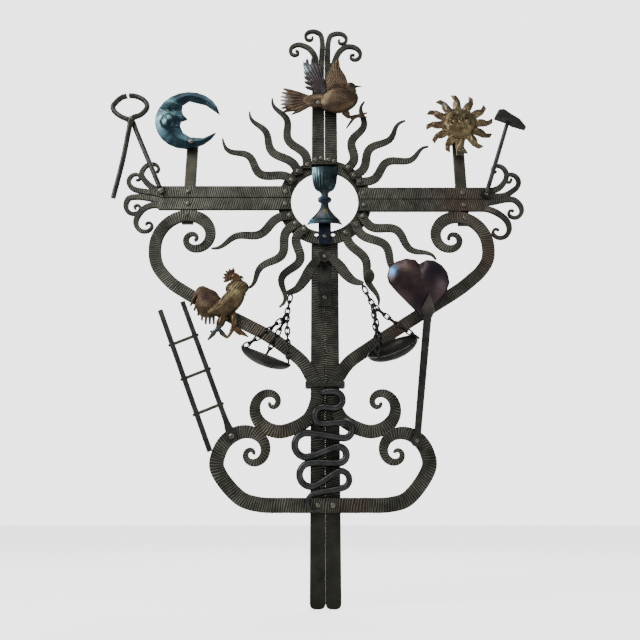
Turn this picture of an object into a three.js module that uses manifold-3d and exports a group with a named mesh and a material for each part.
// Wrought iron grave cross of flat hammered bar, hung with the signs of the Passion.
// Millimetres, +Z up, +X to the viewer's right, and the side that is looked at faces -Y.
// The origin lies on the ground line, midway between the two bars of the post.

import * as THREE from 'three';
import { mergeVertices } from 'three/addons/utils/BufferGeometryUtils.js';
import Module from 'manifold-3d';

const wasm = await Module();
wasm.setup();

// The flat bar, and how bars lie beside and on each other
const flatWidth = 30;
const flatThickness = 8;
const pairGap = 1;
const touchGap = 0.3;
const rivetRadius = 4.6;
const rivetHeight = 3;

// The cross: ring, post and arms
const ringHeight = 878;
const ringInnerRadius = 78.5;
const ringWidth = 31.5;
const ringLap = 17;
const ringHoleRadius = 5;
const ringHoleSpread = 19;
const footRadius = 9;
const upperPostLength = 289;
const armLengthLeft = 306;
const armLengthRight = 300;
const leftArmLift = 5;
const rightArmLift = 1;

// The rays round the ring
const rayWidth = 18;
const rayTipWidth = 5;
const rayThickness = 6;
const rayWaves = 1.9;

// The straps behind the arms that carry the moon and the sun
const strapWidth = 27;
const moonStrapX = -318;
const sunStrapX = 322;
const moonStrapRise = 120;
const sunStrapRise = 170;
const strapDrop = 32;

// The two long scrolls, their collar, the base scroll and the serpent
const scrollWidth = 28;
const scrollTipWidth = 9;
const scrollParting = 3;
const collarHeight = 442;
const collarWidth = 12;
const collarThickness = 4;
const baseScrollHeight = 194;
const serpentRod = 15;

// The signs
const moonRadius = 79;
const sunFaceRadius = 40;
const chaliceHeight = 148;
const chaliceWall = 2;
const beamDrop = 159;
const beamStandoff = 50;
const beamThickness = 7;
const bracketWidth = 30;
const bracketThickness = 6;
const panRadius = 55;
const panDepth = 24;
const panWall = 2;
const chainWire = 2.8;
const ladderSpacing = 52;
const ladderRod = 10.6;
const lanceLength = 320;
const hammerHandle = 9;
const pincerRod = 11;

// Planes that the pieces lie in, from the post forward
const postFront = -flatThickness / 2;
const ringBack = postFront - touchGap;
const ringFront = ringBack - flatThickness;
const armBack = ringFront - touchGap;
const armFront = armBack - flatThickness;
const signBack = armFront - touchGap;

const pairOffset = (flatWidth + pairGap) / 2;
const ringOuterRadius = ringInnerRadius + ringWidth;
const ringMidRadius = ringInnerRadius + ringWidth / 2;
const beamHeight = ringHeight - beamDrop;
const lowerPostTop = ringHeight - ringOuterRadius + ringLap;
const upperPostBottom = ringHeight + ringOuterRadius - ringLap;
const upperPostTop = upperPostBottom + upperPostLength;

const finishes = {
  iron: { color: 0x4a4941, roughness: 0.55, metalness: 0.85 },
  plainIron: { color: 0x33322e, roughness: 0.6, metalness: 0.85 },
  blued: { color: 0x3d5a64, roughness: 0.3, metalness: 0.95 },
  bronzed: { color: 0x6b5c40, roughness: 0.35, metalness: 0.95 },
  heartSteel: { color: 0x3a2c34, roughness: 0.25, metalness: 0.95 },
  roosterSteel: { color: 0x5a4636, roughness: 0.4, metalness: 0.9 },
  doveSteel: { color: 0x4f4332, roughness: 0.4, metalness: 0.9 },
  doveBlue: { color: 0x4c4a58, roughness: 0.35, metalness: 0.9 },
};

const cross = new THREE.Group();

const radians = THREE.MathUtils.degToRad;

// Helpers for solids

function solidOf(geometry) {
  const bare = new THREE.BufferGeometry();
  bare.setAttribute('position', geometry.getAttribute('position'));
  bare.setIndex(geometry.getIndex());
  const merged = mergeVertices(bare, 1e-3);
  const corners = merged.getIndex().array;
  const triangles = [];
  for (let i = 0; i < corners.length; i += 3) {
    const [a, b, c] = corners.slice(i, i + 3);
    if (a !== b && b !== c && c !== a) triangles.push(a, b, c);
  }
  return new wasm.Manifold(new wasm.Mesh({
    numProp: 3,
    vertProperties: new Float32Array(merged.getAttribute('position').array),
    triVerts: new Uint32Array(triangles),
  }));
}

function geometryOf(solid) {
  const mesh = solid.getMesh();
  const geometry = new THREE.BufferGeometry();
  geometry.setAttribute('position', new THREE.BufferAttribute(mesh.vertProperties, 3));
  geometry.setIndex(new THREE.BufferAttribute(mesh.triVerts, 1));
  return geometry;
}

function fuse(...geometries) {
  const whole = geometries.map(solidOf).reduce((sum, next) => sum.add(next));
  return geometryOf(whole);
}

function cut(geometry, ...tools) {
  const left = tools.map(solidOf).reduce((rest, tool) => rest.subtract(tool), solidOf(geometry));
  return geometryOf(left);
}

function within(geometry, limit) {
  return geometryOf(solidOf(geometry).intersect(solidOf(limit)));
}

function addPiece(name, geometry, finish, parent = cross) {
  const mesh = new THREE.Mesh(geometry, new THREE.MeshStandardMaterial(finishes[finish]));
  mesh.name = name;
  parent.add(mesh);
  return mesh;
}

// A flat plate standing up, cut to an outline given as [x, z] points or a shape. Its back lies at y = back.
function plate(outline, back, thickness) {
  const shape = Array.isArray(outline)
    ? new THREE.Shape(outline.map(([x, z]) => new THREE.Vector2(x, z)))
    : outline;
  const geometry = new THREE.ExtrudeGeometry(shape, {
    depth: thickness,
    bevelEnabled: false,
    curveSegments: 3,
    steps: 1,
  });
  geometry.rotateX(Math.PI / 2);
  geometry.translate(0, back, 0);
  return geometry;
}

function curveThrough(points) {
  const places = points.map(([x, z]) => new THREE.Vector3(x, 0, z));
  const curve = new THREE.CatmullRomCurve3(places, false, 'centripetal');
  curve.arcLengthDivisions = 600;
  return curve;
}

// A flat band bent edgewise along a curve, with a new face wherever the curve has turned enough.
// Its back lies at y = back, or as far in front of that as shiftAt says for a height.
function band(curve, widthAt, back, thickness, turnPerFace = 22, shiftAt = () => 0) {
  const steps = 400;
  const longestFace = 80;
  const stepLength = curve.getLength() / steps;
  const stations = [0];
  let turned = 0;
  let run = 0;
  let before = curve.getTangentAt(0);
  for (let i = 1; i <= steps; i++) {
    const along = curve.getTangentAt(i / steps);
    turned += THREE.MathUtils.radToDeg(before.angleTo(along));
    run += stepLength;
    before = along;
    if (i < steps && turned < turnPerFace && run < longestFace) continue;
    stations.push(i / steps);
    turned = 0;
    run = 0;
  }
  const geometry = new THREE.BoxGeometry(1, 1, 1, 1, 1, stations.length - 1);
  const position = geometry.getAttribute('position');
  for (let i = 0; i < position.count; i++) {
    const [aside, level, along] = [position.getX(i), position.getY(i), position.getZ(i)];
    const share = stations[Math.round((along + 0.5) * (stations.length - 1))];
    const at = curve.getPointAt(share);
    const tangent = curve.getTangentAt(share);
    const half = aside * widthAt(share);
    const y = back + (level - 0.5) * thickness - shiftAt(at.z);
    position.setXYZ(i, at.x + tangent.z * half, y, at.z - tangent.x * half);
  }
  return geometry;
}

// A curl is a spiral that closes round its eye: radius from outer to inner while it turns through sweep.
function curlPoints({ eye, outer, inner, from, sweep }) {
  const count = Math.ceil(Math.abs(sweep) / 24);
  return Array.from({ length: count + 1 }, (_, i) => {
    const share = i / count;
    const radius = outer * (inner / outer) ** share;
    const angle = radians(from + sweep * share);
    return [eye[0] + radius * Math.cos(angle), eye[1] + radius * Math.sin(angle)];
  });
}

// Moves points drawn for the right side to their place, mirrored for the left side.
function placed(points, side, x, z) {
  return points.map(([dx, dz]) => [side * (x + dx), z + dz]);
}

function roundShape(centre, radius, count = 10) {
  return new THREE.Shape(Array.from({ length: count }, (_, i) => {
    const angle = (2 * Math.PI * i) / count;
    return new THREE.Vector2(centre[0] + radius * Math.cos(angle), centre[1] + radius * Math.sin(angle));
  }));
}

function rivet(x, z, front, radius = rivetRadius) {
  const sunk = 1;
  const head = new THREE.CylinderGeometry(radius, 0.62 * radius, rivetHeight + sunk, 5);
  head.translate(x, front + sunk - (rivetHeight + sunk) / 2, z);
  return head;
}

function box(x0, x1, y0, y1, z0, z1) {
  const block = new THREE.BoxGeometry(x1 - x0, y1 - y0, z1 - z0);
  block.translate((x0 + x1) / 2, (y0 + y1) / 2, (z0 + z1) / 2);
  return block;
}

function egg(centre, halfSizes, lean = 0, sides = 10, rings = 7) {
  const ball = new THREE.SphereGeometry(1, sides, rings);
  ball.scale(...halfSizes);
  ball.rotateY(-radians(lean));
  ball.translate(...centre);
  return ball;
}

// A round rod along a curve of [x, y, z] points
function rod(points, radius, steps = points.length * 2) {
  const places = points.map((point) => new THREE.Vector3(...point));
  return new THREE.ExtrudeGeometry(roundShape([0, 0], radius, 6), {
    steps,
    bevelEnabled: false,
    extrudePath: new THREE.CatmullRomCurve3(places, false, 'centripetal'),
  });
}

// Post: two flats side by side, under the ring below and over it above

function footOutline(centre) {
  const half = flatWidth / 2;
  const shape = new THREE.Shape();
  shape.moveTo(centre - half, lowerPostTop);
  shape.lineTo(centre - half, footRadius);
  shape.absarc(centre - half + footRadius, footRadius, footRadius, Math.PI, 1.5 * Math.PI);
  shape.lineTo(centre + half - footRadius, 0);
  shape.absarc(centre + half - footRadius, footRadius, footRadius, -0.5 * Math.PI, 0);
  shape.lineTo(centre + half, lowerPostTop);
  return shape;
}

// Each end of a bar is split down its middle, and each half is drawn out thin and curled.
const splitWidth = (flatWidth - 1) / 2;
const curlTipWidth = 6;
const splitOverlap = 8;

function splitCurl(side, x, z, { root, lead, ...curl }, back) {
  const points = [...root, ...lead, ...curlPoints(curl)];
  const curve = curveThrough(placed(points, side, x, z));
  const widthAt = (share) => splitWidth + (curlTipWidth - splitWidth) * share ** 0.8;
  return band(curve, widthAt, back, flatThickness, 34);
}

// Curls at the top of the post, measured from its centre line and from where the split begins
const postHalf = splitWidth / 2 + 0.5;
const topCurls = {
  left: [
    { root: [[pairOffset - postHalf, -splitOverlap]], lead: [[6, 30], [5, 62]],
      eye: [35, 79], outer: 27, inner: 6, from: 163, sweep: -310 },
    { root: [[pairOffset + postHalf, -splitOverlap]], lead: [[22.5, 17], [38, 45]],
      eye: [71, 34], outer: 25, inner: 4, from: 112, sweep: -352 },
  ],
  right: [
    { root: [[pairOffset - postHalf, -splitOverlap]], lead: [[8.5, 32], [10, 62]],
      eye: [42, 69], outer: 30, inner: 5.5, from: 149, sweep: -320 },
    { root: [[pairOffset + postHalf, -splitOverlap]], lead: [[27, 9], [37, 34]],
      eye: [73, 22], outer: 34, inner: 4, from: 125, sweep: -390 },
  ],
};
const upperRivets = { left: [[21.5, 12], [8, 16]], right: [[9.5, 12], [22.5, 8]] };
const sides = { left: -1, right: 1 };

for (const [name, side] of Object.entries(sides)) {
  const centre = side * pairOffset;
  const half = flatWidth / 2;
  addPiece(`lower_post_bar_${name}`, plate(footOutline(centre), flatThickness / 2, flatThickness), 'iron');
  const shaft = box(centre - half, centre + half, armFront, armBack, upperPostBottom, upperPostTop);
  const curls = topCurls[name].map((curl) => splitCurl(side, 0, upperPostTop, curl, armBack));
  const rivets = upperRivets[name].map(([x, z]) => rivet(side * x, upperPostBottom + z, armFront));
  addPiece(`upper_post_bar_${name}`, fuse(shaft, ...curls, ...rivets), 'iron');
}

// Arms: two flats each side, riveted on the front of the ring, every end split in two curls

const armCurls = {
  left: {
    upper: { lead: [[9, 23], [31, 38]], eye: [18, 73], outer: 31, inner: 7, from: -21, sweep: 255 },
    upperOuter: { lead: [[12, 13], [36, 17]], eye: [57, 51], outer: 29, inner: 4.8, from: -87, sweep: 322 },
    lowerOuter: { lead: [[12, -3], [50, 3]], eye: [52, -25], outer: 31, inner: 3.5, from: 51, sweep: -430 },
    lower: { lead: [[8, -18], [31, -25]], eye: [22, -69], outer: 35, inner: 4.8, from: 49, sweep: -348 },
  },
  right: {
    upper: { lead: [[5, 22], [29, 30]], eye: [25, 76], outer: 34, inner: 4, from: -54, sweep: 312 },
    upperOuter: { lead: [[14, 8], [42, 11]], eye: [56, 52], outer: 28, inner: 4.5, from: -73, sweep: 423 },
    lowerOuter: { lead: [[8, -7], [41, 0]], eye: [55, -33], outer: 33, inner: 4.9, from: 79, sweep: -347 },
    lower: { lead: [[0, -25], [18, -33]], eye: [16, -81], outer: 38, inner: 5, from: 56, sweep: -333 },
  },
};
const armShape = {
  left: { length: armLengthLeft, middle: ringHeight + leftArmLift, strapX: Math.abs(moonStrapX) },
  right: { length: armLengthRight, middle: ringHeight + rightArmLift, strapX: sunStrapX },
};
const armStart = ringInnerRadius + 1;
const armRivetInset = 12;

for (const [name, side] of Object.entries(sides)) {
  const { length, middle, strapX } = armShape[name];
  const end = armStart + length;
  for (const [row, rise] of [['upper', 1], ['lower', -1]]) {
    const centre = middle + rise * pairOffset;
    const [low, high] = [centre - flatWidth / 2, centre + flatWidth / 2];
    const [left, right] = side > 0 ? [armStart, end] : [-end, -armStart];
    const bar = box(left, right, armFront, armBack, low, high);
    const curls = [row, `${row}Outer`].map((key) => {
      const isOuter = key !== row;
      const rootHeight = rise * (pairOffset + (isOuter ? -postHalf : postHalf));
      const curl = { root: [[-splitOverlap, rootHeight]], ...armCurls[name][key] };
      return splitCurl(side, end, middle, curl, armBack);
    });
    const rivets = [armStart + armRivetInset, strapX].map((x) => rivet(side * x, centre, armFront));
    addPiece(`${name}_arm_${row}_bar`, fuse(bar, ...curls, ...rivets), 'iron');
  }
}

// Ring

function ringGeometry() {
  const holeRadius = ringInnerRadius + ringHoleRadius + 3.5;
  const holeDrop = Math.sqrt(holeRadius ** 2 - ringHoleSpread ** 2);
  const shape = roundShape([0, ringHeight], ringOuterRadius, 36);
  shape.holes.push(roundShape([0, ringHeight], ringInnerRadius, 36));
  for (const side of [-1, 1]) {
    shape.holes.push(roundShape([side * ringHoleSpread, ringHeight - holeDrop], ringHoleRadius, 6));
  }
  return plate(shape, ringBack, flatThickness);
}

addPiece('ring', ringGeometry(), 'iron');

// Rays: pointed wavy tongues, each riveted at its root on the ring. Angles are in degrees from +X.

const rays = {
  ray_upper_left_1: { at: 114, from: 23, heading: 115, length: 206, sway: 9.2, phase: 177, bow: 6 },
  ray_upper_left_2: { at: 130, from: 20, heading: 126, length: 204, sway: 8.4, phase: 177, bow: 13 },
  ray_upper_left_3: { at: 146, from: 16, heading: 146, length: 202, sway: 11.4, phase: 216, bow: 13 },
  ray_lower_left_3: { at: 206, from: 12, heading: 205, length: 195, sway: 8.2, phase: 167, bow: 10 },
  ray_lower_left_2: { at: 222, from: 12, heading: 236, length: 193, sway: 9.6, phase: 161, bow: 14 },
  ray_lower_left_1: { at: 238, from: 10, heading: 254, length: 196, sway: 12.5, phase: 186, bow: 1 },
  ray_lower_right_1: { at: -60, from: 18, heading: -68, length: 189, sway: 6.7, phase: 173, bow: 12 },
  ray_lower_right_2: { at: -42, from: 17, heading: -52, length: 196, sway: 9.3, phase: 168, bow: 17 },
  ray_lower_right_3: { at: -26, from: 19, heading: -33, length: 196, sway: 10.9, phase: 163, bow: 9 },
  ray_upper_right_3: { at: 30, from: 17, heading: 30, length: 192, sway: 10.3, phase: 151, bow: 10 },
  ray_upper_right_2: { at: 43, from: 17, heading: 50, length: 197, sway: 9.2, phase: 174, bow: 11 },
  ray_upper_right_1: { at: 57, from: 24, heading: 77, length: 189, sway: 9.1, phase: 190, bow: -2 },
};
const rayRootLap = 9;
const bossedRay = 'ray_lower_right_1';

function rayPath({ at, from, heading, length, sway, phase, bow }) {
  const radius = ringInnerRadius + from;
  const root = [radius * Math.cos(radians(at)), ringHeight + radius * Math.sin(radians(at))];
  const along = [Math.cos(radians(heading)), Math.sin(radians(heading))];
  const count = 16;
  const wave = (share) => Math.sin(2 * Math.PI * rayWaves * share + radians(phase));
  const points = Array.from({ length: count + 1 }, (_, i) => {
    const share = i / count;
    const level = wave(0) * (1 - share) + wave(1) * share;
    const aside = sway * (wave(share) - level) + 4 * bow * share * (1 - share);
    const run = length * share;
    return [root[0] + along[0] * run - along[1] * aside, root[1] + along[1] * run + along[0] * aside];
  });
  const [first, second] = points;
  const step = Math.hypot(second[0] - first[0], second[1] - first[1]);
  const back = [(first[0] - second[0]) / step, (first[1] - second[1]) / step];
  return { root, points: [[root[0] + back[0] * rayRootLap, root[1] + back[1] * rayRootLap], ...points] };
}

for (const [name, ray] of Object.entries(rays)) {
  const { root, points } = rayPath(ray);
  const widthAt = (share) => rayTipWidth + (rayWidth - rayTipWidth) * (1 - share ** 3);
  const tongue = band(curveThrough(points), widthAt, armBack, rayThickness, 32);
  const heads = [rivet(...root, armBack - rayThickness)];
  if (name === bossedRay) heads.push(egg([99, armBack - rayThickness, ringHeight - 190], [15, 4, 15], 0, 10, 5));
  addPiece(name, fuse(tongue, ...heads), 'iron');
}

// Straps behind the arms: they carry the moon and the sun above and the hooks of the long scrolls below

const armBottom = {
  left: armShape.left.middle - pairOffset - flatWidth / 2,
  right: armShape.right.middle - pairOffset - flatWidth / 2,
};
const armTop = {
  left: armShape.left.middle + pairOffset + flatWidth / 2,
  right: armShape.right.middle + pairOffset + flatWidth / 2,
};
const straps = {
  moon_strap: { x: moonStrapX, low: armBottom.left - strapDrop, high: armTop.left + moonStrapRise },
  sun_strap: { x: sunStrapX, low: armBottom.right - strapDrop, high: armTop.right + sunStrapRise },
};
for (const [name, { x, low, high }] of Object.entries(straps)) {
  addPiece(name, box(x - strapWidth / 2, x + strapWidth / 2, ringFront, ringBack, low, high), 'iron');
}

// Long scrolls: a hook under each arm, a long diagonal to the collar, and a curl below it.
// The upper part lies on the strap, one bar forward of the lower part, which lies on the post.

const scrollX = (scrollWidth + scrollParting) / 2;

// The curls below the collar and those of the base scroll pass each other, so both are drawn for one room
// between collar and base scroll and grow or shrink with it. The bar keeps its width, so the curls give way
// by what it doesn't lose.
const drawnRoom = 248;
const roomShare = (collarHeight - baseScrollHeight) / drawnRoom;

function fitted({ eye, outer, inner, ...rest }) {
  const widthKept = (1 - roomShare) * scrollWidth / 2;
  const size = outer * roomShare - widthKept;
  return { eye: [eye[0] * roomShare, eye[1] * roomShare], outer: size, inner, ...rest };
}

const hooks = {
  left: { x: -18, outer: 93, inner: 8, from: -23, sweep: 540, start: [386, 304],
    lead: [[27, 13], [47, 48], [83, 79], [125, 108], [168, 131], [277, 189], [317, 213], [344, 232], [376, 270]] },
  right: { x: -31, outer: 86, inner: 10, from: -20, sweep: 490, start: [372, 309],
    lead: [[28, 15], [51, 48], [97, 81], [155, 120], [211, 157], [304, 218], [326, 236], [350, 258], [367, 284]] },
};
const lowerCurl = { eye: [113, -40], outer: 73, inner: 4, from: -136, sweep: 520 };
const bendBelowCollar = 4;
const joggleLow = collarHeight + 40;
const joggleHigh = collarHeight + 115;

function radiusAt({ outer, inner, from, sweep }, angle) {
  return outer * (inner / outer) ** ((angle - from) / sweep);
}

function hookEye(name) {
  const hook = hooks[name];
  const heights = [70, 75, 80, 85, 90].map((angle) => radiusAt(hook, angle) * Math.sin(radians(angle)));
  const crest = Math.max(...heights) + scrollWidth / 2;
  return [armShape[name].strapX + hook.x, armBottom[name] - 3 * touchGap - crest];
}

// Where the diagonal of a long scroll runs into its hook
function hookStart(name) {
  const hook = hooks[name];
  const eye = hookEye(name);
  return [eye[0] + hook.outer * Math.cos(radians(hook.from)), eye[1] + hook.outer * Math.sin(radians(hook.from))];
}

function taper(width, upperRun, lowerRun) {
  return (share) => {
    const fromEnd = Math.min(share / upperRun, (1 - share) / lowerRun, 1);
    return scrollTipWidth + (width - scrollTipWidth) * fromEnd ** 0.7;
  };
}

function joggle(height) {
  return (flatThickness + touchGap) * THREE.MathUtils.smoothstep(height, joggleLow, joggleHigh);
}

// How much of its drawn reach and rise the diagonal has
function diagonalReach(name) {
  const { start } = hooks[name];
  const [endX, endHeight] = hookStart(name);
  return [endX / start[0], (endHeight - collarHeight) / start[1]];
}

for (const [name, side] of Object.entries(sides)) {
  const { lead, ...hook } = hooks[name];
  const eye = hookEye(name);
  const reach = diagonalReach(name);
  const diagonal = lead.map(([dx, dz]) => [dx * reach[0], collarHeight + dz * reach[1]]);
  const lower = curlPoints(fitted(lowerCurl)).map(([px, pz]) => [px, collarHeight + pz]);
  const points = [
    ...curlPoints({ ...hook, eye }).reverse(),
    ...diagonal.reverse(),
    [scrollX + 1, collarHeight - bendBelowCollar],
    [scrollX + 1, collarHeight - 27 * roomShare],
    [scrollX + 20, collarHeight - 73 * roomShare],
    ...lower.slice(1),
  ];
  const curve = curveThrough(points.map(([px, pz]) => [side * px, pz]));
  const strip = band(curve, taper(scrollWidth, 0.24, 0.4), ringBack, flatThickness, 24, joggle);
  const strapAside = armShape[name].strapX - eye[0];
  const crestRadius = radiusAt(hook, 65);
  const rivetHeightOnHook = eye[1] + Math.sqrt(crestRadius ** 2 - strapAside ** 2);
  const head = rivet(side * armShape[name].strapX, rivetHeightOnHook, armFront);
  addPiece(`${name}_scroll`, fuse(strip, head), 'iron');
}

// Collar round the two scrolls and the post

// How far a scroll leans out of the upright by the top of the collar, at its outer edge
function scrollLeanOut(name) {
  const reach = diagonalReach(name);
  const [nextX, nextRise] = hooks[name].lead[0];
  const lean = (nextX * reach[0] - scrollX - 1) / (nextRise * reach[1] + bendBelowCollar);
  return lean * (bendBelowCollar + collarWidth / 2) + (Math.hypot(1, lean) - 1) * scrollWidth / 2;
}

function collarGeometry() {
  const leanOut = Math.max(scrollLeanOut('left'), scrollLeanOut('right'));
  const inner = Math.max(pairOffset + flatWidth / 2, scrollX + leanOut + scrollWidth / 2) + touchGap;
  const outer = inner + collarThickness;
  const [front, back] = [ringFront - touchGap, flatThickness / 2 + touchGap];
  const [low, high] = [collarHeight - collarWidth / 2, collarHeight + collarWidth / 2];
  const block = box(-outer, outer, front - collarThickness, back + collarThickness, low, high);
  return cut(block, box(-inner, inner, front, back, low - 1, high + 1));
}

addPiece('collar', collarGeometry(), 'plainIron');

// Base scroll: one flat across the front of the post, curled up at both ends

const baseCurls = {
  left: { eye: [153, 103], outer: 85, inner: 6, from: -46, sweep: 539 },
  right: { eye: [148, 103], outer: 80, inner: 6.9, from: -46, sweep: 497 },
};
const baseRuns = {
  left: [[74, 0], [136, 2], [174, 15]],
  right: [[74, 0], [134, 2], [168, 14]],
};

function baseHalf(name, side) {
  const run = baseRuns[name].map(([x, z]) => [x * roomShare, z * roomShare]);
  return placed([...run, ...curlPoints(fitted(baseCurls[name])).slice(1)], side, 0, baseScrollHeight);
}

function baseScrollGeometry() {
  const points = [...baseHalf('left', -1).reverse(), [0, baseScrollHeight], ...baseHalf('right', 1)];
  const curve = curveThrough(points);
  const strip = band(curve, taper(flatWidth, 0.4, 0.4), ringBack, flatThickness, 22);
  const rivets = [-pairOffset, pairOffset].map((x) => rivet(x, baseScrollHeight, ringFront));
  return fuse(strip, ...rivets);
}

addPiece('base_scroll', baseScrollGeometry(), 'iron');

// Serpent: a round rod wound from side to side down the front of the post. Each bend goes round a peg,
// given as x, height and radius in shares of the drop from the collar to the base scroll, and its side.

const serpentTop = collarHeight - collarWidth / 2 - touchGap - serpentRod / 2;
const serpentDrop = serpentTop - baseScrollHeight;
const pegs = [
  { x: 0.08, z: -0.09, radius: 0.075, turn: -1 },
  { x: -0.02, z: -0.23, radius: 0.075, turn: 1 },
  { x: 0.165, z: -0.36, radius: 0.07, turn: -1 },
  { x: -0.165, z: -0.49, radius: 0.105, turn: 1 },
  { x: 0.115, z: -0.575, radius: 0.07, turn: -1 },
  { x: -0.125, z: -0.745, radius: 0.1, turn: 1 },
  { x: 0.135, z: -0.785, radius: 0.072, turn: -1 },
  { x: -0.08, z: -0.975, radius: 0.075, turn: 1 },
];

// Path of the straight crossings between the pegs and the bends round them
function pegPath(list) {
  const legs = [];
  for (let i = 0; i + 1 < list.length; i++) {
    const [a, b] = [list[i], list[i + 1]];
    const gap = new THREE.Vector2(b.x - a.x, b.z - a.z);
    const spread = Math.min(0.98, (a.radius + b.radius) / gap.length());
    const angle = Math.atan2(gap.y, gap.x) + a.turn * (Math.PI / 2 - Math.asin(spread)) * -1;
    legs.push({ leave: angle, arrive: angle + Math.PI });
  }
  return legs;
}

function serpentGeometry() {
  const legs = pegPath(pegs);
  const points = [];
  pegs.forEach((peg, i) => {
    const arrive = i === 0 ? Math.PI / 2 : legs[i - 1].arrive;
    const leaveAngle = i === pegs.length - 1 ? -Math.PI / 3 : legs[i].leave;
    let sweep = (leaveAngle - arrive) % (2 * Math.PI);
    if (peg.turn > 0 && sweep < 0) sweep += 2 * Math.PI;
    if (peg.turn < 0 && sweep > 0) sweep -= 2 * Math.PI;
    const count = 5;
    for (let k = 0; k <= count; k++) {
      const angle = arrive + (sweep * k) / count;
      points.push([
        serpentDrop * (peg.x + peg.radius * Math.cos(angle)),
        ringFront - touchGap - serpentRod / 2,
        serpentTop + serpentDrop * (peg.z + peg.radius * Math.sin(angle)),
      ]);
    }
  });
  return rod(points, serpentRod / 2, 46);
}

addPiece('serpent', serpentGeometry(), 'plainIron');

// Moon: a crescent with a brow, an eye and a nose, riveted on its strap

function moonGeometry() {
  const centre = [moonStrapX - 13, armTop.left + moonStrapRise + 56];
  const unit = moonRadius / 77;
  const at = (x, z) => [centre[0] + x * unit, centre[1] + z * unit];
  const [hornTop, hornBottom, count] = [11, 334, 20];
  const rim = Array.from({ length: count + 1 }, (_, i) => {
    const angle = radians(hornTop + ((hornBottom - hornTop) * i) / count);
    return [centre[0] + moonRadius * Math.cos(angle), centre[1] + moonRadius * Math.sin(angle)];
  });
  const inside = [[40, -50], [10, -48], [-8, -36], [-17, -16], [-15, -3], [0, 2], [-10, 12], [-15, 24],
    [-14, 42], [0, 53], [40, 42]];
  const thickness = 7;
  const body = plate([...rim, ...inside.map(([x, z]) => at(x, z))], signBack, thickness);
  const front = signBack - thickness;
  const raised = ([x, z], halfX, depth, halfZ, lean) => egg(
    [at(x, z)[0], front, at(x, z)[1]], [halfX * unit, depth, halfZ * unit], lean, 8, 4);
  const eye = raised([-50, 23], 7, 3, 4, 0);
  const brow = raised([-46, 34], 19, 3.5, 4, -8);
  const cheek = raised([-45, -8], 20, 4, 22, 0);
  const head = rivet(moonStrapX, armTop.left + moonStrapRise - 8, front);
  return fuse(body, eye, brow, cheek, head);
}

addPiece('moon', moonGeometry(), 'blued');

// Sun: a round face with twelve curling flames and a tab that is riveted over its strap

function sunGeometry() {
  const centre = [sunStrapX + 4, armTop.right + sunStrapRise];
  const flameCount = 12;
  const thickness = 5;
  const polar = (radius, degrees) => [
    centre[0] + radius * sunFaceRadius * Math.cos(radians(degrees)),
    centre[1] + radius * sunFaceRadius * Math.sin(radians(degrees)),
  ];
  const outline = [];
  for (let i = 0; i < flameCount; i++) {
    const angle = 92 - (i * 360) / flameCount;
    outline.push(polar(1.1, angle + 13), polar(1.62, angle + 4), polar(2.06, angle + 9));
    outline.push(polar(2.02, angle), polar(1.65, angle - 7), polar(1.12, angle - 12));
  }
  const disc = plate(outline, signBack, thickness);
  const face = egg([centre[0], signBack - thickness, centre[1]],
    [sunFaceRadius, 13, sunFaceRadius], 0, 14, 7);
  const faceFront = signBack - thickness - 11;
  const feature = (x, z, halfX, halfZ, depth = 5) => egg(
    [centre[0] + x * sunFaceRadius, faceFront, centre[1] + z * sunFaceRadius],
    [halfX * sunFaceRadius, depth, halfZ * sunFaceRadius], 0, 6, 4);
  const features = [
    feature(0, 0, 0.13, 0.27, 7),
    feature(-0.4, -0.12, 0.24, 0.22),
    feature(0.4, -0.12, 0.24, 0.22),
    feature(-0.36, 0.42, 0.25, 0.09, 4),
    feature(0.36, 0.42, 0.25, 0.09, 4),
    feature(0, -0.42, 0.3, 0.09, 4),
  ];
  const tab = box(sunStrapX - strapWidth / 3, sunStrapX + strapWidth / 3, signBack - thickness, signBack,
    armTop.right + sunStrapRise - 2.2 * sunFaceRadius, armTop.right + sunStrapRise);
  const keep = box(centre[0] - 3 * sunFaceRadius, centre[0] + 3 * sunFaceRadius, signBack, 0,
    centre[1] - 3 * sunFaceRadius, centre[1] + 3 * sunFaceRadius);
  return cut(fuse(disc, face, tab, ...features), keep);
}

addPiece('sun', sunGeometry(), 'bronzed');

// Hammer: head and round handle, the handle flattened to an eye on the right arm

const hammer = new THREE.Group();
const hammerLean = 19;
const hammerReach = 196;
const hammerEye = [376, armShape.right.middle + 11];
hammer.position.set(hammerEye[0], signBack, hammerEye[1]);
hammer.rotation.y = radians(hammerLean);
cross.add(hammer);

function hammerHandleGeometry() {
  const eyeRadius = 1.2 * hammerHandle;
  const eye = new THREE.CylinderGeometry(eyeRadius, eyeRadius, hammerHandle / 2, 8);
  eye.translate(0, -hammerHandle / 4, 0);
  const grip = new THREE.CylinderGeometry(hammerHandle / 2, hammerHandle / 2, hammerReach - 4, 8);
  grip.rotateX(Math.PI / 2);
  grip.translate(0, -hammerHandle / 2, (hammerReach - 4) / 2 + 4);
  return fuse(eye, grip, rivet(0, 0, -hammerHandle / 2));
}

function hammerHeadGeometry() {
  const unit = hammerHandle / 9;
  const outline = [[-34, 2], [-30, 24], [-18, 29], [2, 21], [24, 14], [46, -4], [54, -22], [46, -27],
    [22, -10], [2, 0]].map(([x, z]) => [x * unit, hammerReach + touchGap + z * unit + 4]);
  const head = plate(outline, 0, 2 * hammerHandle);
  return cut(head, box(-60, 60, -3 * hammerHandle, 3 * hammerHandle, 0, hammerReach + touchGap));
}

addPiece('hammer_handle', hammerHandleGeometry(), 'plainIron', hammer);
addPiece('hammer_head', hammerHeadGeometry(), 'plainIron', hammer);

// Pincers: two rods that pass each other at a pivot, one of them riveted on the left arm

const pivot = [-armStart - armLengthLeft - 78, armShape.left.middle + 200];
const pincerPlane = signBack - pincerRod / 2;
const pincerEye = [-armStart - armLengthLeft + 4, armShape.left.middle + 15];

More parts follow.
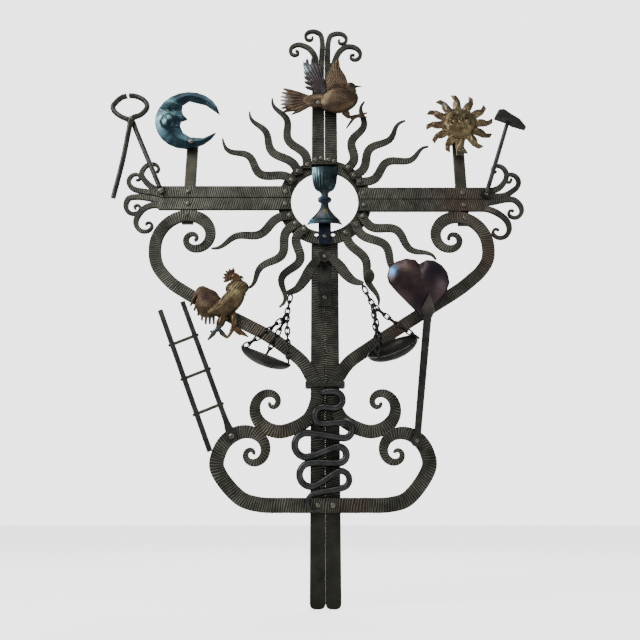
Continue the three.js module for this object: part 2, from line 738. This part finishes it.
const rightJaw = [[7, 6], [19, 14], [30, 30], [32, 46], [20, 64], [1, 74], [-6, 75]];
const leftJaw = [[-9, 6], [-30, 16], [-48, 32], [-51, 45], [-44, 58], [-32, 70], [-20, 74]];

function pincerHalf(jaw, handleEnd, lift) {
  const crossing = 12;
  const handle = [handleEnd[0] - pivot[0], handleEnd[1] - pivot[1]];
  const points = [
    [handleEnd[0], pincerPlane, handleEnd[1]],
    [pivot[0] + 0.5 * handle[0], pincerPlane, pivot[1] + 0.5 * handle[1]],
    [pivot[0] + 0.14 * handle[0], pincerPlane - lift * 0.8, pivot[1] + 0.14 * handle[1]],
    [pivot[0], pincerPlane - lift, pivot[1]],
    ...jaw.map(([x, z], i) => [
      pivot[0] + x,
      pincerPlane - lift * Math.max(0, 1 - (i * crossing) / 40),
      pivot[1] + z,
    ]),
  ];
  return rod(points, pincerRod / 2, 16);
}

const crossingLift = pincerRod + touchGap;
const leftHandleEnd = [pivot[0] - 27, pivot[1] - 204];
addPiece('pincers_left_handle', pincerHalf(rightJaw, leftHandleEnd, crossingLift), 'plainIron');
addPiece('pincers_right_handle', fuse(
  pincerHalf(leftJaw, [pincerEye[0] - 3, pincerEye[1] + 8], 0),
  plate(roundShape(pincerEye, 10), signBack, pincerRod / 2),
  rivet(...pincerEye, signBack - pincerRod / 2),
), 'plainIron');

// Ladder: two square rails and three rungs, hung by the foot of the right rail on the base scroll

const ladder = new THREE.Group();
const ladderLean = 22.3;
const ladderEye = [194 * roomShare, baseScrollHeight + 137 * roomShare];
const ladderClearance = 62;
const hookShare = 0.9;

// The ladder ends a clear step below the left scroll and short of where that bends into its hook.
function ladderLength() {
  const [endX, endHeight] = hookStart('left');
  const slope = (endHeight - collarHeight) / endX;
  const room = collarHeight + slope * ladderEye[0] - ladderEye[1] - ladderClearance;
  const sine = Math.sin(radians(ladderLean));
  const underScroll = room / (Math.cos(radians(ladderLean)) - slope * sine);
  return Math.min(underScroll, (hookShare * endX - ladderEye[0]) / sine);
}

const ladderRise = ladderLength();
const rungPitch = 0.255 * ladderRise;
const rungFoot = 0.227 * ladderRise;
ladder.position.set(-ladderEye[0], armBack, ladderEye[1]);
ladder.rotation.y = radians(-ladderLean);
cross.add(ladder);

function rail(x, low, high, outward, parts = []) {
  const half = ladderRod / 2;
  const stubs = [0, 1, 2].map((i) => {
    const stub = new THREE.CylinderGeometry(half * 0.6, half * 0.6, 4, 6);
    stub.rotateZ(Math.PI / 2);
    stub.translate(x + outward * (half + 1), -flatThickness / 2, rungFoot + i * rungPitch);
    return stub;
  });
  return fuse(box(x - half, x + half, -flatThickness, 0, low, high), ...stubs, ...parts);
}

addPiece('ladder_right_rail', rail(0, 8, ladderRise, 1, [
  plate(roundShape([0, 0], 12), 0, flatThickness / 2),
  rivet(0, 0, -flatThickness / 2),
]), 'plainIron', ladder);
addPiece('ladder_left_rail', rail(-ladderSpacing, -11, ladderRise, -1), 'plainIron', ladder);

for (let i = 0; i < 3; i++) {
  const length = ladderSpacing - ladderRod - 2 * touchGap;
  const rung = new THREE.CylinderGeometry(ladderRod * 0.36, ladderRod * 0.36, length, 6);
  rung.rotateZ(Math.PI / 2);
  rung.translate(-ladderSpacing / 2, -flatThickness / 2, rungFoot + i * rungPitch);
  addPiece(`ladder_rung_${i + 1}`, rung, 'plainIron', ladder);
}

// Heart: a crowned plate on the right scroll

const heartTip = [210, collarHeight + 142];
const heartThickness = 14;

function heartGeometry() {
  const halfLeft = [[-11, 18], [-50, 61], [-68, 84], [-72, 101], [-66, 122], [-50, 135], [-28, 142], [-7, 138],
    [2, 127]];
  const halfRight = [[5, 131], [17, 138], [34, 137], [52, 126], [64, 107], [67, 84], [58, 61], [27, 28]];
  const outline = [[0, 0], ...halfLeft, ...halfRight].map(([x, z]) => [heartTip[0] + x, heartTip[1] + z]);
  const swell = egg([heartTip[0], signBack, heartTip[1] + 80], [92, heartThickness, 100], 0, 12, 9);
  return within(plate(outline, signBack, heartThickness), swell);
}

addPiece('heart', heartGeometry(), 'heartSteel');

// Lance: riveted on the base scroll, leaning forward so that its head lies on the heart

const lance = new THREE.Group();
const lanceEye = [190 * roomShare, baseScrollHeight + 128 * roomShare];
const lanceRise = heartTip[1] - lanceEye[1];
const lanceEyeRadius = 12.5;
const lanceTilt = Math.atan2(armBack - signBack + heartThickness + touchGap, lanceRise);
lance.position.set(lanceEye[0], armBack - lanceEyeRadius * Math.sin(lanceTilt), lanceEye[1]);
lance.rotation.x = lanceTilt;
cross.add(lance);

function lanceGeometry() {
  const neck = lanceLength - 57;
  const shaft = [[-7, 4], [-8.5, neck], [-15, neck + 18], [0, lanceLength], [15, neck + 18], [8.5, neck], [7, 4]];
  const thickness = 6;
  const parts = [plate(shaft, 0, thickness), plate(roundShape([0, 0], lanceEyeRadius), 0, thickness)];
  const whole = fuse(...parts, rivet(0, 0, -thickness));
  whole.rotateY(radians(6.8));
  return whole;
}

addPiece('lance', lanceGeometry(), 'plainIron', lance);

// Balance: a bracket on the post, a wavy beam, two chains and two pans

function bracketGeometry() {
  const bottom = beamHeight - 100;
  const near = touchGap - postFront;
  const far = beamStandoff - touchGap;
  const profile = new THREE.Shape([
    [near, bottom], [near + bracketThickness, bottom], [near + bracketThickness, bottom + 36],
    [far, beamHeight - 24], [far, beamHeight + 16], [far - bracketThickness, beamHeight + 16],
    [far - bracketThickness, beamHeight - 21], [near, bottom + 40],
  ].map(([forward, z]) => new THREE.Vector2(forward, z)));
  const strip = new THREE.ExtrudeGeometry(profile, { depth: bracketWidth, bevelEnabled: false, steps: 1 });
  strip.rotateX(Math.PI / 2);
  strip.rotateZ(-Math.PI / 2);
  strip.translate(bracketWidth / 2, 0, 0);
  return fuse(strip, rivet(4, bottom + 17, -near - bracketThickness));
}

function beamGeometry() {
  const arm = [[0, -2], [12, -3], [32, -30], [46, -56], [62, -76], [84, -85]];
  const back = -beamStandoff;
  const widthAt = (share) => 7 + 17 * Math.sin(Math.PI * share ** 0.8) ** 0.8;
  const leftArm = curveThrough(arm.map(([x, z]) => [-x, beamHeight + z]));
  const rightArm = curveThrough(arm.map(([x, z]) => [x, beamHeight + z * 0.74]));
  return fuse(
    band(leftArm, widthAt, back, beamThickness),
    band(rightArm, widthAt, back, beamThickness),
    plate(roundShape([0, beamHeight], 15), back, beamThickness),
    rivet(0, beamHeight, back - beamThickness),
  );
}

addPiece('balance_bracket', bracketGeometry(), 'plainIron');
addPiece('balance_beam', beamGeometry(), 'iron');

// One link: an oval of wire from one point to another, turned about its own length
function link(from, to, turn) {
  const [start, end] = [new THREE.Vector3(...from), new THREE.Vector3(...to)];
  const along = end.clone().sub(start);
  const half = along.length() / 2 + 0.5 * chainWire;
  const flat = new THREE.Vector3(0, 1, 0).cross(along).normalize();
  flat.applyAxisAngle(along.clone().normalize(), radians(turn));
  const middle = start.add(end).multiplyScalar(0.5);
  along.normalize();
  const oval = Array.from({ length: 6 }, (_, i) => {
    const angle = (i * Math.PI) / 3;
    const place = middle.clone().addScaledVector(along, half * Math.cos(angle));
    return place.addScaledVector(flat, 2.7 * chainWire * Math.sin(angle));
  });
  return new THREE.ExtrudeGeometry(roundShape([0, 0], chainWire / 2, 3), {
    steps: 6,
    bevelEnabled: false,
    extrudePath: new THREE.CatmullRomCurve3(oval, true),
  });
}

function strand(from, to, count, firstTurn) {
  return Array.from({ length: count }, (_, i) => {
    const point = (share) => from.map((value, axis) => value + (to[axis] - value) * share);
    return link(point(i / count), point((i + 1) / count), firstTurn + (i % 2) * 80);
  });
}

const hangPlane = -beamStandoff - beamThickness - 6;
const balances = {
  left: { top: [-74, beamHeight - 92], knot: [-81, beamHeight - 139], pan: [-121, beamHeight - 230], roll: 22,
    nod: 13 },
  right: { top: [83, beamHeight - 74], knot: [102, beamHeight - 118], pan: [138, beamHeight - 212], roll: -25,
    nod: 26 },
};

function panGeometry() {
  const inner = panRadius - panWall;
  const profile = [];
  const count = 3;
  for (let i = 0; i <= count; i++) {
    const angle = (Math.PI / 2) * (i / count);
    profile.push(new THREE.Vector2(panRadius * Math.sin(angle), -panDepth * Math.cos(angle)));
  }
  for (let i = count; i >= 0; i--) {
    const angle = (Math.PI / 2) * (i / count);
    profile.push(new THREE.Vector2(inner * Math.sin(angle), -(panDepth - panWall) * Math.cos(angle)));
  }
  const bowl = new THREE.LatheGeometry(profile, 14);
  bowl.rotateX(Math.PI / 2);
  return bowl;
}

for (const [name, { top, knot, pan, roll, nod }] of Object.entries(balances)) {
  const turn = new THREE.Euler(radians(nod), radians(roll), 0, 'YXZ');
  const dish = geometryOf(solidOf(panGeometry()));
  const holder = new THREE.Group();
  const panPlane = signBack - touchGap - panRadius - 2 * chainWire;
  holder.position.set(pan[0], panPlane, pan[1]);
  holder.rotation.copy(turn);
  cross.add(holder);
  addPiece(`${name}_pan`, dish, 'plainIron', holder);
  const knotPlace = [knot[0], hangPlane - 6, knot[1]];
  const strands = [100, 220, 340].map((degrees, i) => {
    const reach = panRadius + chainWire;
    const rim = new THREE.Vector3(reach * Math.cos(radians(degrees)), reach * Math.sin(radians(degrees)),
      chainWire);
    rim.applyEuler(turn).add(holder.position);
    return strand(knotPlace, rim.toArray(), 3, i * 30);
  });
  const topPlace = [top[0], hangPlane, top[1]];
  const knotBall = egg(knotPlace, [5, 5, 5], 0, 6, 4);
  addPiece(`${name}_chain`, fuse(...strand(topPlace, knotPlace, 2, 0), knotBall, ...strands.flat()), 'plainIron');
}

// Chalice: beaten from sheet as a shallow half round, hollow behind, on a strap riveted on the ring

const chaliceFootRadius = 38;
const chaliceFoot = ringHeight - 66;
const chaliceRelief = 0.32;
const chaliceStrapThickness = 6;
const chaliceBack = armBack - chaliceStrapThickness - touchGap;

// Half of a turned form, flattened from front to back, standing in front of the plane y = chaliceBack
function halfTurned(profile, relief, sides) {
  const unit = chaliceHeight / 152;
  const points = profile.map(([radius, z]) => new THREE.Vector2(radius, z * unit));
  const turned = new THREE.LatheGeometry(points, sides);
  turned.rotateX(Math.PI / 2);
  turned.scale(1, relief, 1);
  turned.translate(0, chaliceBack, chaliceFoot);
  return turned;
}

function chaliceGeometry() {
  const outside = [[0, 0], [chaliceFootRadius, 0], [chaliceFootRadius - 1, 7], [29, 20], [17, 35], [8, 48],
    [8, 59], [14, 62], [15.5, 67], [14, 71], [7.5, 74], [8, 86], [16, 94], [24, 108], [29, 128], [31, 152],
    [0, 152]];
  const cupInside = [[0, 98], [13, 100], [22, 111], [27, 130], [29, 160], [0, 160]];
  const footInside = [[0, -6], [36, -6], [34, 4], [25, 18], [12, 33], [0, 33]];
  const hollow = (depth) => (depth * chaliceRelief - chaliceWall) / depth;
  const behind = box(-chaliceHeight, chaliceHeight, chaliceBack, 60, 0, 2 * ringHeight);
  return cut(halfTurned(outside, chaliceRelief, 14), behind, halfTurned(cupInside, hollow(29), 12),
    halfTurned(footInside, hollow(36), 12));
}

function chaliceStrapGeometry() {
  const [low, high] = [ringHeight - ringOuterRadius - 3, chaliceFoot + 14];
  const half = flatWidth / 2 - 0.5;
  const strap = box(-half, half, armBack - chaliceStrapThickness, armBack, low, high);
  return fuse(strap, rivet(0, ringHeight - ringMidRadius + 1, armBack - chaliceStrapThickness));
}

addPiece('chalice', chaliceGeometry(), 'blued');
addPiece('chalice_strap', chaliceStrapGeometry(), 'blued');

// Dove: body with head, beak, tail and feet, and two raised wings

const doveCentre = [30, ringHeight + 259];
const doveDepth = 17;
const doveY = signBack - doveDepth;

function feather(x, z, length, width, degrees, y, thickness) {
  const [c, s] = [Math.cos(radians(degrees)), Math.sin(radians(degrees))];
  const turned = (u, v) => [x + u * c - v * s, z + u * s + v * c];
  const outline = [turned(0, width / 2), turned(0.7 * length, width / 2), turned(length, 0),
    turned(0.7 * length, -width / 2), turned(0, -width / 2)];
  return plate(outline, y, thickness);
}

function doveBody(grow = 0) {
  const [x, z] = doveCentre;
  return [
    egg([x + 5, doveY, z - 1], [48 + grow, doveDepth + grow, 34 + grow], 16, 10, 7),
    egg([x + 33, doveY, z + 36], [14 + grow, 11 + grow, 12 + grow], 0, 10, 6),
    egg([x - 38, doveY, z - 3], [34 + grow, 6 + grow, 16 + grow], 2, 8, 6),
  ];
}

function doveGeometry() {
  const [x, z] = doveCentre;
  const beak = new THREE.ConeGeometry(4.5, 26, 6);
  beak.rotateZ(-Math.PI / 2);
  beak.translate(x + 54, doveY, z + 39);
  const tail = Array.from({ length: 8 }, (_, i) => {
    const spread = 157 + i * 8;
    return feather(x - 48, z - 1, 82 - Math.abs(i - 3.5) * 1.5, 11, spread, doveY + 2, 4);
  });
  const legs = [
    curveThrough([[x + 14, z - 26], [x + 27, z - 38], [x + 45, z - 35], [x + 74, z - 26]]),
    curveThrough([[x + 23, z - 69], [x + 33, z - 50], [x + 48, z - 36], [x + 73, z - 39]]),
  ].map((curve) => band(curve, (share) => 3 + 5 * Math.sin(Math.PI * share), signBack, 5));
  const thigh = egg([x + 22, signBack - 8, z - 31], [12, 8, 9], -30, 8, 5);
  const head = rivet(x - 45, z - 12, doveY - 4, 6);
  const behind = box(x - 200, x + 200, signBack, 40, z - 200, z + 200);
  return cut(fuse(...doveBody(), beak, ...tail, ...legs, thigh, head), behind);
}

// A wing: a blade from shoulder to tip with feather ends along one side
function wing(points, feathers, y, thickness) {
  return cut(fuse(plate(points, y, thickness), ...feathers), ...doveBody(touchGap));
}

const wingThickness = 4;

function nearWing() {
  const [x, z] = doveCentre;
  const blade = [[-24, 20], [-26, 66], [-8, 110], [6, 120], [9, 92], [22, 68], [27, 50], [18, 14], [-4, 8]];
  return wing(blade.map(([dx, dz]) => [x + dx, z + dz]), [], doveY + 1, wingThickness);
}

function farWing() {
  const [x, z] = doveCentre;
  const blade = [[-28, 14], [-54, 30], [-66, 62], [-76, 84], [-74, 112], [-54, 120], [-36, 104], [-28, 60],
    [-18, 30]];
  const ends = [[-73, 92, 106], [-70, 101, 97], [-61, 106, 86]].map(([dx, dz, lean]) => (
    feather(x + dx, z + dz, 34, 8, lean, signBack - 1, wingThickness)));
  const trail = [40, 52, 64, 76, 88].map((dz, i) => (
    feather(x - 54 - i * 3, z + dz, 27, 9, 160 - i * 8, signBack - 1, wingThickness)));
  const points = blade.map(([dx, dz]) => [x + dx, z + dz]);
  return wing(points, [...ends, ...trail], signBack - 1, wingThickness);
}

addPiece('dove_body', doveGeometry(), 'doveSteel');
addPiece('dove_near_wing', nearWing(), 'doveSteel');
addPiece('dove_far_wing', farWing(), 'doveBlue');

// Rooster: beaten from sheet, standing across the left scroll

function roosterCentre() {
  const [endX, endHeight] = hookStart('left');
  const perch = 212;
  return [-perch, collarHeight + perch * (endHeight - collarHeight) / endX + 19];
}

function roosterGeometry() {
  const [x, z] = roosterCentre();
  const back = signBack;
  const place = ([dx, dz]) => [x + dx, z + dz];
  const blade = (points, [rootWidth, tipWidth], thickness, lift = 0) => {
    const widthAt = (share) => rootWidth + (tipWidth - rootWidth) * share;
    return band(curveThrough(points.map(place)), widthAt, back - lift, thickness, 30);
  };
  const body = egg([x + 6, back - 9, z - 4], [38, 12, 22], 52, 10, 7);
  const neck = blade([[18, 14], [20, 34], [12, 54]], [40, 20], 12);
  const head = egg([x + 12, back - 7, z + 54], [11, 8, 10], 0, 8, 6);
  const beak = blade([[16, 54], [27, 56], [31, 51]], [8, 2], 8);
  const comb = [205, 182, 160, 138, 116, 92].map((degrees) => (
    feather(x + 8, z + 54, 25, 7, degrees, back - 2, 6)));
  const tailCount = 7;
  const tail = Array.from({ length: tailCount }, (_, i) => {
    const share = i / (tailCount - 1);
    const tip = [-84 + 54 * share, -12 - 42 * Math.min(1, 1.6 * share)];
    const crest = [-64 + 30 * share, 30 - 26 * share];
    const root = [-14, -18 + 6 * (1 - share)];
    const rise = [-30 + 8 * share, 14 - 18 * share];
    return blade([root, rise, crest, tip], [17, 4], 5 + 0.3 * i);
  });
  const wingBlade = blade([[12, 6], [-12, -16], [-42, -34]], [34, 8], 8, 8);
  const legs = [
    [[12, -30], [14, -48], [12, -58]], [[-6, -34], [-18, -48], [-21, -62]],
  ].map((points) => blade(points, [22, 8], 6));
  const toes = [
    [[12, -53], [26, -74], [46, -82]], [[14, -50], [6, -72], [2, -84]],
    [[-20, -58], [-14, -76], [0, -86]], [[-19, -54], [-26, -74], [-42, -90]], [[-17, -60], [-28, -70], [-38, -70]],
  ].map((points, i) => blade(points, [8, 3], 4.4 + 0.3 * i));
  const hold = rivet(x - 4, z - 31, back - 15, 3.6);
  const behind = box(x - 200, x + 200, back, 40, z - 200, z + 200);
  const whole = fuse(body, neck, head, beak, ...comb, ...tail, wingBlade, ...legs, ...toes, hold);
  return cut(whole, behind);
}

addPiece('rooster', roosterGeometry(), 'roosterSteel');

export default cross;
